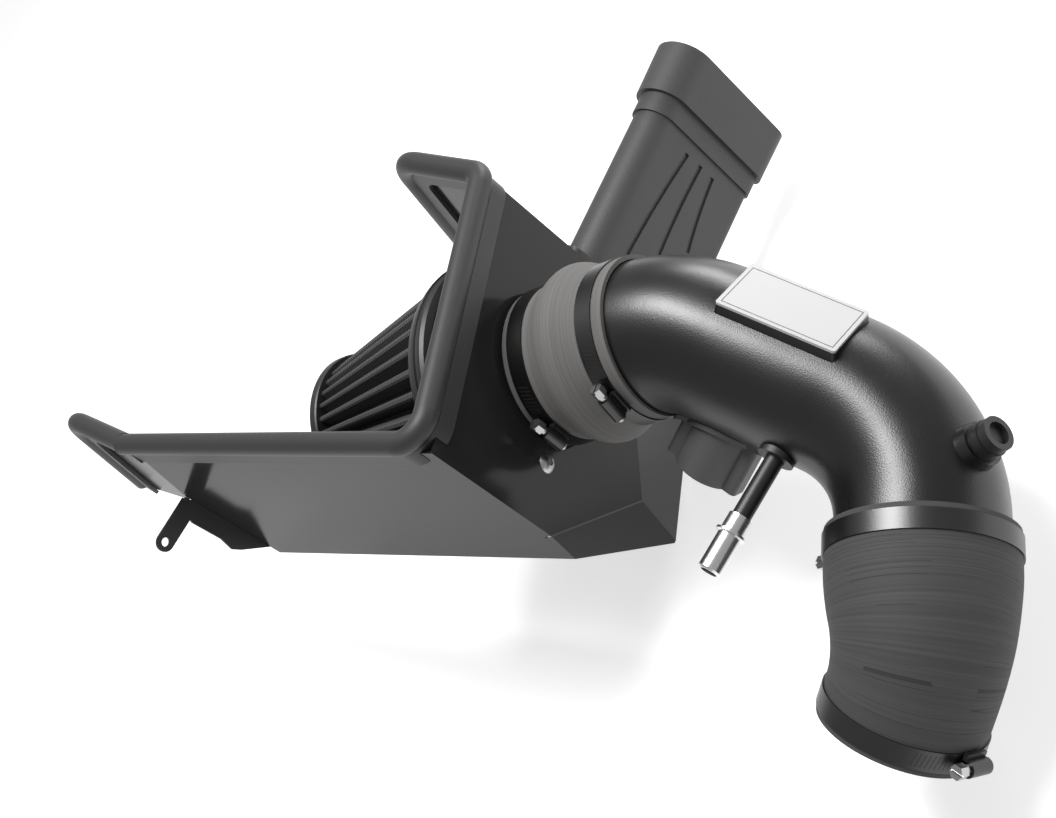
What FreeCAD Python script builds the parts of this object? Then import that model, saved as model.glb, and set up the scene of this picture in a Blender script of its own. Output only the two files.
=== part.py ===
import FreeCAD, Part
import math
import os
from FreeCAD import Placement, Rotation, Vector

# Cold air intake: folded heat shield with its cone filter, an inlet duct, a bent intake
# tube and two silicone hoses. Lengths in mm, angles in degrees.
# It is modelled about the centre of the hose hole in the shield's main wall: +X leaves
# that wall along the tube, +Y runs along the wall's top edge, +Z is up as installed.

# Intake tube
tube_od = 88.9
tube_wall = 4.0
tube_start_x = 48.0
bend_start_x = 66.0
bend_radius = 82.0
first_bend = 38.0
bend_tilt = 46.0
mid_length = 71.3
end_azimuth = -2.6
end_drop = 10.0
tail_length = 39.0
tube_end_gap = 1.0
station_start_x = 44.0
fit_gap = 0.25

# Hoses
hose_wall = 4.55
filter_hose_wall = 2.6
filter_hose_start_x = 3.0
filter_hose_end_x = 76.0
hump_height = 6.5
hump_start_x = 19.0
hump_end_x = 57.0
hump_steps = 12
elbow_rim = 6.0
elbow_straight = 43.0
elbow_radius = 60.0
elbow_angle = 41.2
elbow_tail = 18.0
elbow_roll = 122.6
elbow_rings = 8
elbow_seat = 20.0
throttle_bore = 75.0

# Hose clamps
band_width = 11.0
band_thickness = 0.8
band_gap = 0.15
clamp_lift = 0.1
clamp_inset = 3.0
shield_clamp_inset = 4.0
tube_clamp_inset = 7.0
filter_clamp_inset = 7.0
shield_clamp_roll = 88.5
tube_clamp_roll = 78.5
elbow_clamp_roll = 100.0
throttle_clamp_roll = -100.0
filter_clamp_roll = 30.0
housing_length = 15.0
housing_width = 13.5
housing_height = 8.5
housing_wall = 1.2
housing_shoulder = 2.4
screw_radius = 2.9
screw_length = 20.0
screw_clearance = 0.2
screw_floor = 1.0
screw_neck = 3.0
screw_head_radius = 4.0
screw_head_length = 5.5
screw_slot = 1.2
screw_slot_depth = 1.5

# Heat shield
sheet = 1.5
wall_top_z = 76.0
wall_front_y = -101.0
wall_rear_y = 88.0
front_angle = 14.7
front_length = 316.0
front_foot_length = 347.0
front_fold_lean = 25.0
front_fold_angle = 13.5
front_return = 95.0
front_notch_z = 5.0
front_end_z = -21.0
rear_angle = 28.7
rear_length = 91.0
rear_edge_lean = 26.7
rear_edge_z = -52.0
chin_z = -24.0
keel_y = -40.0
keel_z = -96.0
keel_rise = 19.7
chin_foot = Vector(-8.0, -98.9, -55.0)
keel_foot = Vector(-14.0, -40.0, -149.0)
front_foot_z = -82.0
rear_foot_z = -165.0
rear_foot_run = 70.0
front_corner_radius = 34.0
rear_corner_radius = 26.0
seam_width = 0.5
seam_end = 0.5
hole_gap = 0.6
wall_cut = 9.0

# Edge trim
trim_leg = 9.0
trim_wall = 3.0
trim_web = 3.0
bulb_radius = 7.2
bulb_wall = 2.0
bulb_rise = 6.5
bulb_hollow_depth = 12.0
trim_turn_radius = 15.0
trim_gap = 0.15
trim_end_inset = 4.0
trim_mitre_length = 12.0
trim_mitre_lap = 1.5

# Filter adapter and its screws
adapter_flange_radius = 66.0
adapter_flange = 4.5
adapter_wall = 5.0
adapter_reach = 30.0
adapter_neck = 24.0
adapter_screw_radius = 60.8
adapter_screw_angles = (189.5, 270.0, 350.5)
m6_radius = 3.0
m6_clearance = 0.3
button_radius = 6.2
button_height = 3.3
button_socket = 4.0
nut_flats = 10.0
nut_height = 5.0
nut_gap = 0.05
screw_spare = 1.0

# Cone filter
filter_neck_wall = 3.5
filter_neck_length = 22.0
filter_neck_step = 3.0
filter_front_gap = 3.0
filter_root = 4.0
filter_base_radius = 78.0
filter_base_x = -29.0
filter_base_length = 10.0
filter_shoulder_x = -46.0
filter_cap_x = -154.0
filter_cap_length = 8.0
filter_cap_radius = 50.5
filter_cap_lip = 3.5
filter_cap_floor = 3.0
pleat_count = 32
pleat_depth = 13.0
pleat_tip = 5.0
pleat_crown = 0.22
pleat_valley = 0.16
media_thickness = 2.2
media_overhang = 2.5
media_step = 6.0
media_base_radius = 72.0
media_cap_radius = 47.0
cage_gap = 1.0
cage_wire = 0.8
cage_hoop = 3.0
cage_bar = 2.0
cage_bars = 12

# Inlet duct
duct_turn = 21.0
duct_height = 102.0
duct_depth = 31.0
duct_wall = 3.0
duct_top_corner = 15.0
duct_low_corner = 6.0
duct_face_side = -39.7
duct_top_z = -16.0
duct_collar_start = 201.0
duct_flare_start = 215.0
duct_end = 252.0
duct_start_back = 20.0
duct_opening_reach = 16.0
duct_lap = 1.0
collar_step = 1.8
flare_step = 5.0
flare_rise = 0.8
groove_width = 4.5
groove_depth = 1.6
groove_taper = 0.9
groove_bow = 1.2
duct_grooves = ((192.0, -54.0, 108.0, -44.6), (192.5, -68.5, 123.0, -68.6),
                (192.0, -82.0, 138.0, -90.0))
duct_flange = 3.0
duct_flange_side = 4.0
duct_flange_end = 13.0
duct_flange_corner = 6.0
duct_screw_inset = 6.0
m5_radius = 2.5
m5_clearance = 0.3
m5_head_radius = 4.6
m5_head_height = 2.6
m5_socket = 3.0
m5_nut_flats = 8.0
m5_nut_height = 4.0
m5_spare = 5.0
gasket = 1.5

# Badge plate and its pad on the tube
plate_length = 71.0
plate_width = 37.0
plate_thickness = 1.6
plate_station = 117.0
plate_roll = -28.5
pad_draft = 2.0
pad_height = 1.2
plate_corner = 1.5
fitting_root = 12.0

# Sensor mount
sensor_station = 102.0
sensor_roll = 124.0
sensor_lean = 11.0
sensor_relief = 0.6
sensor_body_radius = 18.0
sensor_bore_radius = 14.0
sensor_ear_length = 48.0
sensor_ear_width = 15.0
sensor_ear_corner = 3.0
sensor_height = 29.0
sensor_foot = 2.5
sensor_foot_margin = 4.0
sensor_screw_radius = 2.0
sensor_screw_depth = 14.0

# Vent fitting
vent_station = 136.4
vent_roll = 85.8
grommet_radius = 10.5
grommet_lip = 2.6
grommet_groove = 8.0
vent_pipe_radius = 5.3
vent_pipe_wall = 1.2
vent_pipe_length = 39.0
vent_pipe_inside = 6.0
nipple_radius = 6.6
nipple_collar = 11.0
nipple_length = 34.0
nipple_spigot = 9.0
nipple_wall = 1.0
nipple_bead = 8.6
nipple_bead_setback = 1.5
nipple_bead_ramp = 0.6
nipple_bead_crest = 1.4
nipple_chamfer = 1.0
nipple_bore = 4.6

# Plug fitting
plug_station = 217.0
plug_roll = -69.0
boss_radius = 12.0
boss_height = 5.0
boss_draft = 2.0
insert_radius = 8.0
insert_head_radius = 10.0
insert_height = 6.0
insert_bore = 4.2
plug_radius = 9.3
plug_height = 5.5
plug_stem = 10.0
plug_rim = 3.2
plug_floor = 2.5

# Mounting bracket
bracket_thickness = 2.0
bracket_hole_radius = 3.25
bracket_hole_out = 35.5
bracket_hole_z = 7.9
strap_width = 14.0
bracket_leg = 20.0
bracket_root_z = 1.5
bracket_foot_z = -72.0
bracket_gap = 0.3
bracket_drop = 2.0
bracket_root_inset = 2.0
bracket_web_top = (9.0, 14.0)
bracket_web_low = ((13.5, 40.0), (16.0, 28.0), (13.0, 21.0))
strap_lean = 8.0

# Longer than the part, and longer than any fitting on the tube
far = 900.0
through = 100.0

tube_radius = tube_od / 2
hose_radius = tube_radius + fit_gap + hose_wall
filter_hose_radius = tube_radius + fit_gap + filter_hose_wall
hole_radius = tube_radius + hole_gap
wall_x = -sheet


def cosd(angle):
    return math.cos(math.radians(angle))


def sind(angle):
    return math.sin(math.radians(angle))


def perpendicular(direction, towards):
    """Unit vector across direction that leans towards another vector."""
    across = towards - direction * direction.dot(towards)
    across.normalize()
    return across


def place(shape, origin, z_axis, x_axis):
    """Move a shape drawn about the origin to a new origin and axes."""
    y_axis = z_axis.cross(x_axis)
    moved = shape.copy()
    frame = Placement(origin, Rotation(x_axis, y_axis, z_axis, "ZXY"))
    moved.Placement = frame.multiply(moved.Placement)
    return moved


def cylinder(radius, start, end, axis=Vector(1, 0, 0), origin=Vector(0, 0, 0)):
    """Cylinder between two distances along an axis."""
    return Part.makeCylinder(radius, end - start, origin + axis * start, axis)


def ring(outer, inner, start, end, axis=Vector(1, 0, 0), origin=Vector(0, 0, 0)):
    return cylinder(outer, start, end, axis, origin).cut(
        cylinder(inner, start - 1, end + 1, axis, origin))


def revolve_x(points):
    """Solid of revolution about X from (x, radius) points."""
    outline = [Vector(x, r, 0) for x, r in points]
    outline.append(outline[0])
    face = Part.Face(Part.makePolygon(outline))
    return face.revolve(Vector(0, 0, 0), Vector(1, 0, 0), 360)


def prism(points, height):
    """Straight prism on the XY plane from (x, y) points."""
    outline = [Vector(x, y, 0) for x, y in points]
    outline.append(outline[0])
    return Part.Face(Part.makePolygon(outline)).extrude(Vector(0, 0, height))


def union(shapes):
    result = shapes[0]
    if len(shapes) > 1:
        result = result.fuse(shapes[1:])
    return result.removeSplitter()


def rounded_box(width, height, radius, low_radius=None):
    """Closed wire of a rounded rectangle; the second radius rounds its +y corners."""
    a, b = width / 2, height / 2
    widest = 0.98 * min(a, b)
    corners = []
    for sx, sy in ((1, 1), (-1, 1), (-1, -1), (1, -1)):
        r = min(low_radius if low_radius and sy > 0 else radius, widest)
        k = r * (1 - math.sqrt(0.5))
        near = Vector(sx * a, sy * (b - r), 0)
        mid = Vector(sx * (a - k), sy * (b - k), 0)
        end = Vector(sx * (a - r), sy * b, 0)
        corners.append((near, mid, end) if sx * sy > 0 else (end, mid, near))
    edges = []
    for index, (start, mid, end) in enumerate(corners):
        edges.append(Part.Arc(start, mid, end).toShape())
        edges.append(Part.makeLine(end, corners[(index + 1) % 4][0]))
    return Part.Wire(edges)


def slab(wire, thickness):
    return Part.Face(wire).extrude(Vector(0, 0, thickness))


# Centreline of the tube
start_dir = Vector(1, 0, 0)
mid_dir = Vector(cosd(first_bend), -sind(first_bend) * cosd(bend_tilt),
                 -sind(first_bend) * sind(bend_tilt))
end_dir = Vector(sind(end_azimuth) * cosd(end_drop), -cosd(end_azimuth) * cosd(end_drop),
                 -sind(end_drop))
second_bend = math.degrees(mid_dir.getAngle(end_dir))


class Leg:
    """Straight or bent stretch of a centreline."""

    def __init__(self, start, direction, length, radius=0.0, across=None):
        self.start = start
        self.direction = direction
        self.length = length
        self.radius = radius
        self.across = across

    def at(self, distance):
        """Point and tangent at a distance from the leg's start."""
        if not self.radius:
            return self.start + self.direction * distance, self.direction
        turn = math.degrees(distance / self.radius)
        point = self.start + self.direction * (self.radius * sind(turn)) \
            + self.across * (self.radius * (1 - cosd(turn)))
        tangent = self.direction * cosd(turn) + self.across * sind(turn)
        return point, tangent

    def edge(self):
        if not self.radius:
            return Part.makeLine(self.start, self.at(self.length)[0])
        return Part.Arc(self.start, self.at(self.length / 2)[0],
                        self.at(self.length)[0]).toShape()


def chain(start, direction, stretches):
    """Legs end to end; a stretch is a length, or a bend's radius, angle and side."""
    legs = []
    for stretch in stretches:
        if isinstance(stretch, tuple):
            radius, angle, towards = stretch
            across = perpendicular(direction, towards)
            leg = Leg(start, direction, radius * math.radians(angle), radius, across)
        else:
            leg = Leg(start, direction, stretch)
        legs.append(leg)
        start, direction = leg.at(leg.length)
    return legs


tube_legs = chain(Vector(tube_start_x, 0, 0), start_dir, [
    bend_start_x - tube_start_x,
    (bend_radius, first_bend, mid_dir),
    mid_length,
    (bend_radius, second_bend, end_dir),
    elbow_rim + tail_length - tube_end_gap])
rim_point = tube_legs[3].at(tube_legs[3].length)[0] + end_dir * elbow_rim


def station(distance):
    """Point and tangent of the tube at a distance from the stations' start."""
    distance -= tube_start_x - station_start_x
    for leg in tube_legs:
        if distance <= leg.length:
            return leg.at(distance)
        distance -= leg.length
    return leg.at(leg.length)


def radial(tangent, roll):
    """Direction out of the tube: 0 is up, 90 is the side away from the shield."""
    up = perpendicular(tangent, Vector(0, 0, 1))
    side = tangent.cross(up)
    return up * cosd(roll) + side * sind(roll)


def sweep(legs, radius):
    """Round bar of one radius along a chain of legs."""
    spine = Part.Wire([leg.edge() for leg in legs])
    start = legs[0]
    circle = Part.Wire(Part.makeCircle(radius, start.start, start.direction))
    return spine.makePipeShell([circle], True, False)


def pad_outline():
    """Pad under the badge plate, from the tube's centreline up to the plate's seat."""
    top = tube_radius + pad_height
    base = rounded_box(plate_length + 2 * pad_draft, plate_width + 2 * pad_draft,
                       plate_corner + pad_draft)
    crown = rounded_box(plate_length, plate_width, plate_corner)
    low = base.translated(Vector(0, 0, tube_radius - fitting_root))
    return Part.makeLoft([low, crown.translated(Vector(0, 0, top))], True, True)


def fitting_frame(distance, roll):
    """Origin on the centreline, outward axis and axis along the tube."""
    point, tangent = station(distance)
    return point, radial(tangent, roll), tangent


def plate_blank(gap, thickness):
    """Badge plate, or the room for it with a gap all round."""
    point, outward, along = fitting_frame(plate_station, plate_roll)
    outline = rounded_box(plate_length + 2 * gap, plate_width + 2 * gap, plate_corner)
    plate = slab(outline, thickness)
    plate.translate(Vector(0, 0, tube_radius + pad_height))
    return place(plate, point, outward, along)


def fitting_hole(radius, frame):
    """Hole through the tube's wall at a fitting."""
    return cylinder(radius, tube_radius - fitting_root, through, frame[1], frame[0])


def build_tube():
    outer = sweep(tube_legs, tube_radius)
    bore = sweep(tube_legs, tube_radius - tube_wall)
    pad = place(pad_outline(), *fitting_frame(plate_station, plate_roll))
    boss = Part.makeCone(boss_radius + boss_draft, boss_radius, boss_height + fitting_root)
    boss.translate(Vector(0, 0, tube_radius - fitting_root))
    plug = fitting_frame(plug_station, plug_roll)
    boss = place(boss, *plug)
    room = plate_blank(fit_gap, plate_thickness + through)
    body = outer.fuse([pad, boss]).cut(room).cut(bore)
    holes = [fitting_hole(insert_radius + fit_gap, plug),
             fitting_hole(grommet_groove + fit_gap, fitting_frame(vent_station, vent_roll)),
             fitting_hole(sensor_bore_radius, sensor_frame())]
    return body.cut(holes).removeSplitter()


def build_plate():
    return plate_blank(0.0, plate_thickness)


def sensor_frame():
    """Seat, axis and long side of the sensor mount, which leans back along the tube."""
    point, outward, along = fitting_frame(sensor_station, sensor_roll)
    lean = Rotation(along.cross(outward), sensor_lean)
    return point, lean.multVec(outward), lean.multVec(along)


def sensor_blank(margin):
    """Round body with a flat ear on each side."""
    body = Part.makeCylinder(sensor_body_radius + margin, through)
    ears = rounded_box(sensor_ear_length + 2 * margin, sensor_ear_width + 2 * margin,
                       sensor_ear_corner)
    return body.fuse(slab(ears, through))


def build_sensor_mount():
    point, outward, along = sensor_frame()
    top = tube_radius + sensor_height
    blank = keep_behind(sensor_blank(0), [level(top)])
    blank = place(blank, point, outward, along)
    foot = place(sensor_blank(sensor_foot_margin), point, outward, along)
    near = tube_legs[1:4]
    seat = sweep(near, tube_radius + fit_gap)
    shell = sweep(near, tube_radius + fit_gap + sensor_foot).cut(seat)
    body = blank.cut(seat).fuse(foot.common(shell))
    bore = cylinder(sensor_bore_radius, 0, through, outward, point)
    holes = [bore, cylinder(filter_hose_radius + sensor_relief, 0,
                            filter_hose_end_x + sensor_relief)]
    for side in (-1, 1):
        hole_at = point + along * (side * (sensor_body_radius + sensor_ear_length / 2) / 2)
        holes.append(cylinder(sensor_screw_radius, top - sensor_screw_depth, top + 1,
                              outward, hole_at))
    return body.cut(holes).removeSplitter()


def build_grommet():
    """Rubber grommet clipped in the tube's hole."""
    point, outward, _ = fitting_frame(vent_station, vent_roll)
    low = tube_radius - tube_wall
    sag = tube_radius - math.sqrt(tube_radius ** 2 - grommet_radius ** 2)
    outer_lip = ring(grommet_radius, vent_pipe_radius + fit_gap / 2, tube_radius - sag,
                     tube_radius + grommet_lip, outward, point)
    skin = sweep(tube_legs[1:4], tube_radius + fit_gap)
    outer_lip = outer_lip.cut(skin)
    neck = ring(grommet_groove, vent_pipe_radius + fit_gap / 2, low - grommet_lip,
                tube_radius + grommet_lip, outward, point)
    cavity = sweep(tube_legs[1:4], low - fit_gap)
    inner_lip = ring(grommet_radius, vent_pipe_radius + fit_gap / 2, low - grommet_lip,
                     low, outward, point).common(cavity)
    return outer_lip.fuse([neck, inner_lip]).removeSplitter()


def vent_pipe_span():
    low = tube_radius - tube_wall - vent_pipe_inside
    return low, tube_radius + vent_pipe_length


def build_vent_pipe():
    point, outward, _ = fitting_frame(vent_station, vent_roll)
    low, high = vent_pipe_span()
    return ring(vent_pipe_radius, vent_pipe_radius - vent_pipe_wall, low, high, outward, point)


def build_nipple():
    """Turned push-in nipple on the pipe's end, with a hose bead."""
    point, outward, _ = fitting_frame(vent_station, vent_roll)
    high = vent_pipe_span()[1]
    spigot = vent_pipe_radius - vent_pipe_wall - fit_gap / 2
    bore = spigot - nipple_wall
    bead = nipple_collar - nipple_bead_setback
    crest = bead + nipple_bead_ramp
    fall = crest + nipple_bead_crest
    outline = [(-nipple_spigot, bore), (-nipple_spigot, spigot), (fit_gap, spigot),
               (fit_gap, nipple_radius), (bead, nipple_radius), (crest, nipple_bead),
               (fall, nipple_bead), (fall + nipple_bead_ramp, nipple_radius),
               (nipple_length - nipple_chamfer, nipple_radius),
               (nipple_length, nipple_radius - nipple_chamfer), (nipple_length, nipple_bore),
               (nipple_collar, nipple_bore), (nipple_collar, bore)]
    turned = revolve_x(outline)
    return place(turned, point + outward * high, perpendicular(outward, start_dir), outward)


def build_insert():
    """Insert pressed in the tube's boss, with a round head on it."""
    point, outward, _ = fitting_frame(plug_station, plug_roll)
    low = tube_radius - tube_wall
    top = tube_radius + boss_height
    body = cylinder(insert_radius, low, top, outward, point)
    head = cylinder(insert_head_radius, top, top + insert_height, outward, point)
    bore = cylinder(insert_bore, low - 1, top + insert_height + 1, outward, point)
    return body.fuse(head).cut(bore).removeSplitter()


def build_plug():
    """Push-in rubber plug with a dished face."""
    point, outward, _ = fitting_frame(plug_station, plug_roll)
    base = tube_radius + boss_height + insert_height
    stem = cylinder(insert_bore - fit_gap / 2, base - plug_stem, base + 1, outward, point)
    cap = cylinder(plug_radius, base, base + plug_height, outward, point)
    dish = cylinder(plug_radius - plug_rim, base + plug_floor, base + through, outward, point)
    return cap.fuse(stem).cut(dish).removeSplitter()


# Hoses
def hump(x):
    """Rise of the filter hose between its two clamp seats."""
    if not hump_start_x < x < hump_end_x:
        return 0.0
    share = (x - hump_start_x) / (hump_end_x - hump_start_x)
    return hump_height * (1 - math.cos(2 * math.pi * share)) / 2


def hose_profile(radius):
    """Edges of a humped line at one radius, from the shield's end to the tube's end."""
    start = Vector(filter_hose_start_x, radius, 0)
    end = Vector(filter_hose_end_x, radius, 0)
    span = hump_end_x - hump_start_x
    xs = [hump_start_x + span * k / hump_steps for k in range(hump_steps + 1)]
    points = [Vector(x, radius + hump(x), 0) for x in xs]
    curve = Part.BSplineCurve()
    curve.interpolate(points, InitialTangent=Vector(1, 0, 0), FinalTangent=Vector(1, 0, 0))
    return [Part.makeLine(start, points[0]), curve.toShape(), Part.makeLine(points[-1], end)]


def build_filter_hose():
    seat = tube_radius + fit_gap
    outer = hose_profile(filter_hose_radius)
    inner = hose_profile(seat)
    caps = [Part.makeLine(Vector(x, seat, 0), Vector(x, filter_hose_radius, 0))
            for x in (filter_hose_start_x, filter_hose_end_x)]
    face = Part.Face(Part.Wire(Part.__sortEdges__(outer + inner + caps)))
    hose = face.revolve(Vector(0, 0, 0), Vector(1, 0, 0), 360)
    return hose.cut(sweep(tube_legs[:2], seat))


elbow_legs = chain(rim_point, end_dir, [
    elbow_straight, (elbow_radius, elbow_angle, radial(end_dir, elbow_roll)), elbow_tail])
mouth_radius = throttle_bore / 2
mouth_point, mouth_dir = elbow_legs[-1].at(elbow_legs[-1].length)


def elbow_skin(depth):
    """Loft through rings from the tube's seat to the throttle's, at a depth under the face."""
    straight, bend = elbow_legs[:2]
    hinge = bend.direction.cross(bend.across)
    length = straight.length + bend.length - elbow_seat
    rings = []
    for k in range(elbow_rings + 1):
        share = k / elbow_rings
        distance = elbow_seat + length * share
        if distance < straight.length:
            point, tangent = straight.at(distance)
        else:
            point, tangent = bend.at(distance - straight.length)
        ease = share * share * (3 - 2 * share)
        radius = hose_radius + (mouth_radius + hose_wall - hose_radius) * ease - depth
        circle = Part.Wire(Part.makeCircle(radius))
        rings.append(place(circle, point, tangent, hinge))
    return Part.makeLoft(rings, True, False)


def build_elbow():
    entry = ring(hose_radius, hose_radius - hose_wall, 0, elbow_seat, end_dir, rim_point)
    leave = ring(mouth_radius + hose_wall, mouth_radius, -elbow_tail, 0,
                 mouth_dir, mouth_point)
    skin = elbow_skin(0.0).cut(elbow_skin(hose_wall))
    tube_end = sweep(tube_legs[-1:], tube_radius + fit_gap)
    return skin.cut(tube_end).fuse([entry, leave]).removeSplitter()


# Hose clamps
def clamp_housing(base, crown):
    """Folded housing over the band, with a domed channel for the worm screw."""
    bore = screw_radius + screw_clearance
    side = Vector(0, 1, 0)
    start = Vector(crown, -housing_length / 2, 0)
    dome = Part.makeCylinder(bore + housing_wall, housing_length, start, side)
    shoulders = Part.makeBox(housing_shoulder, housing_length, housing_width,
                             Vector(base, -housing_length / 2, -housing_width / 2))
    hollow = Part.makeCylinder(bore, 3 * housing_length, start - side * housing_length, side)
    channel = Part.makeBox(crown, 2 * housing_length, 2 * bore,
                           Vector(0, -housing_length, -bore))
    band_room = Part.makeCylinder(base, 2 * housing_width, Vector(0, 0, -housing_width))
    return shoulders.fuse(dome).cut([hollow, channel, band_room]).removeSplitter()


def clamp_screw(base, crown):
    """Worm screw: a shaft flattened over the band and a slotted hexagon head."""
    side = Vector(0, 1, 0)
    end = housing_length / 2 + screw_neck
    shaft = Part.makeCylinder(screw_radius, screw_length,
                              Vector(crown, end - screw_length, 0), side)
    shaft = shaft.cut(Part.makeBox(base + screw_floor, 2 * screw_length, 4 * screw_radius,
                                   Vector(0, -screw_length, -2 * screw_radius)))
    corners = []
    for k in range(6):
        corners.append(Vector(crown + screw_head_radius * cosd(60 * k), end,
                              screw_head_radius * sind(60 * k)))
    head = Part.Face(Part.makePolygon(corners + corners[:1]))
    head = head.extrude(side * screw_head_length)
    slot = Part.makeBox(2 * screw_head_radius, screw_slot_depth, screw_slot,
                        Vector(crown - screw_head_radius,
                               end + screw_head_length - screw_slot_depth, -screw_slot / 2))
    return shaft.fuse(head).cut(slot).removeSplitter()


def clamp_parts(radius, centre, axis, housing_dir):
    """Band, housing and worm screw of one clamp about its own axis."""
    inner = radius + band_gap
    outer = inner + band_thickness
    base = outer + clamp_lift
    crown = base + housing_height - screw_radius - screw_clearance - housing_wall
    band = ring(outer, inner, -band_width / 2, band_width / 2, Vector(0, 0, 1))
    shapes = (band, clamp_housing(base, crown), clamp_screw(base, crown))
    return [place(shape, centre, axis, housing_dir) for shape in shapes]


def build_clamps():
    """The four hose clamps and the filter's clamp, by name."""
    x_axis = Vector(1, 0, 0)
    half = band_width / 2
    neck_radius = tube_radius + fit_gap + filter_neck_wall
    shield_end = Vector(filter_hose_start_x + shield_clamp_inset + half, 0, 0)
    tube_end = Vector(filter_hose_end_x - tube_clamp_inset - half, 0, 0)
    neck_end = Vector(wall_x - adapter_flange - filter_clamp_inset - half, 0, 0)
    elbow_end = rim_point + end_dir * (clamp_inset + half)
    throttle_end = mouth_point - mouth_dir * (clamp_inset + half)
    rows = {
        "hose_clamp_shield": (filter_hose_radius, shield_end, x_axis, -1, shield_clamp_roll),
        "hose_clamp_tube": (filter_hose_radius, tube_end, x_axis, -1, tube_clamp_roll),
        "elbow_clamp_tube": (hose_radius, elbow_end, end_dir, -1, elbow_clamp_roll),
        "elbow_clamp_throttle": (mouth_radius + hose_wall, throttle_end, mouth_dir, 1,
                                 throttle_clamp_roll),
        "filter_clamp": (neck_radius, neck_end, x_axis, -1, filter_clamp_roll),
    }
    parts = {}
    for name, (radius, centre, axis, way, roll) in rows.items():
        pieces = clamp_parts(radius, centre, axis * way, radial(axis, roll))
        for piece, shape in zip(("band", "housing", "screw"), pieces):
            parts["%s_%s" % (name, piece)] = shape
    return parts


# Heat shield: each wall is a plane given by a point on it and its outward normal
def plane_through(a, b, c, outward):
    normal = (b - a).cross(c - a)
    normal.normalize()
    if normal.dot(outward) < 0:
        normal = normal * -1
    return a, normal


def half_space(point, normal):
    """Everything behind a plane, as a large block."""
    block = Part.makeBox(4 * far, 4 * far, 2 * far, Vector(-2 * far, -2 * far, -2 * far))
    return place(block, point, normal, perpendicular(normal, Vector(0.3, 0.5, 0.81)))


def offset(plane, distance):
    point, normal = plane
    return point + normal * distance, normal


def level(height):
    """Level plane at a height."""
    return Vector(0, 0, height), Vector(0, 0, 1)


def meet(first, second, third):
    """Point where three planes meet."""
    (a, l), (b, m), (c, n) = first, second, third
    crossed = m.cross(n) * a.dot(l) + n.cross(l) * b.dot(m) + l.cross(m) * c.dot(n)
    return crossed * (1 / l.dot(m.cross(n)))


def keep_behind(shape, planes, shift=0.0):
    for point, normal in planes:
        shape = shape.common(half_space(point + normal * shift, normal))
    return shape


front_run = Vector(-cosd(front_angle), sind(front_angle), 0)
front_out = Vector(-sind(front_angle), -cosd(front_angle), 0)
rear_run = Vector(-cosd(rear_angle), sind(rear_angle), 0)
rear_out = Vector(sind(rear_angle), cosd(rear_angle), 0)
front_corner = Vector(0, wall_front_y, 0)
fold_down = front_run * sind(front_fold_lean) - Vector(0, 0, 1) * cosd(front_fold_lean)
return_run = Rotation(fold_down, front_fold_angle).multVec(front_run)
return_corner = front_corner + front_run * front_length + Vector(0, 0, wall_top_z)
front_foot_corner = front_corner + front_run * front_foot_length
rear_corner = Vector(0, wall_rear_y, 0)
chin = Vector(0, wall_front_y, chin_z)
keel = Vector(0, keel_y, keel_z)
keel_end = Vector(0, wall_rear_y, keel_z + (wall_rear_y - keel_y) * math.tan(
    math.radians(keel_rise)))
chin_foot_on_wall = chin_foot - front_out * (chin_foot - front_corner).dot(front_out)

main_wall = (Vector(0, 0, 0), Vector(1, 0, 0))
front_wall = (front_corner, front_out)
return_wall = plane_through(return_corner, return_corner + fold_down,
                            return_corner + return_run, front_out)
return_out = return_wall[1]
rear_wall = (rear_corner, rear_out)
chin_facet = plane_through(chin, keel, chin_foot_on_wall, Vector(1, -1, -1))
keel_facet = plane_through(keel, keel_end, keel_foot, Vector(1, 0, -1))
shield_walls = [main_wall, front_wall, return_wall, rear_wall, chin_facet, keel_facet]


def build_shield_blank(grow):
    """Folded walls before holes: the sheet, or the sheet grown by a gap on each side."""
    space = Part.makeBox(2 * far, 2 * far, 2 * far, Vector(-far, -far, -far))
    outer = keep_behind(space, shield_walls, grow)
    inner = keep_behind(space, shield_walls, -sheet - grow)
    return outer.cut(inner)


def rear_point(run, z):
    return rear_corner + rear_run * run + Vector(0, 0, z)


def rear_edge_run(z):
    """Length of the rear wall at a height, along its leaning free edge."""
    return rear_length + (wall_top_z - z) * math.tan(math.radians(rear_edge_lean))


return_end = return_corner + return_run * front_return


def front_foot_edge():
    """Plane that ends the sheet at its front foot."""
    foot = front_foot_corner + Vector(0, 0, front_foot_z)
    return plane_through(chin_foot_on_wall, keel_foot, foot, Vector(0, -0.2, -1))


def free_edges():
    """Planes that end the whole sheet at its top, its front end and its foot."""
    foot_rear = rear_point(rear_foot_run, rear_foot_z)
    rear_foot_edge = plane_through(keel_foot, foot_rear, keel_foot - Vector(far, 0, 0),
                                   Vector(0, 0, -1))
    return [level(wall_top_z), (return_end, perpendicular(fold_down, return_run)),
            front_foot_edge(), rear_foot_edge]


def rear_waste(inset=0.0):
    """What the rear wall loses beyond its leaning edge and under its tail."""
    block = Part.makeBox(far, far, far, Vector(-far, wall_rear_y + 4, -far / 2))
    lean = rear_run * cosd(rear_edge_lean) + Vector(0, 0, 1) * sind(rear_edge_lean)
    edge = half_space(rear_point(rear_length, wall_top_z) + lean * inset, lean)
    tail = rear_point(rear_edge_run(rear_edge_z), rear_edge_z)
    foot = rear_point(rear_foot_run, rear_foot_z)
    slope = plane_through(tail, foot, tail + rear_out, Vector(-1, 0, -1))
    kept = edge.common(half_space(slope[0] + slope[1] * inset, slope[1]))
    return block.cut(kept)


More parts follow.
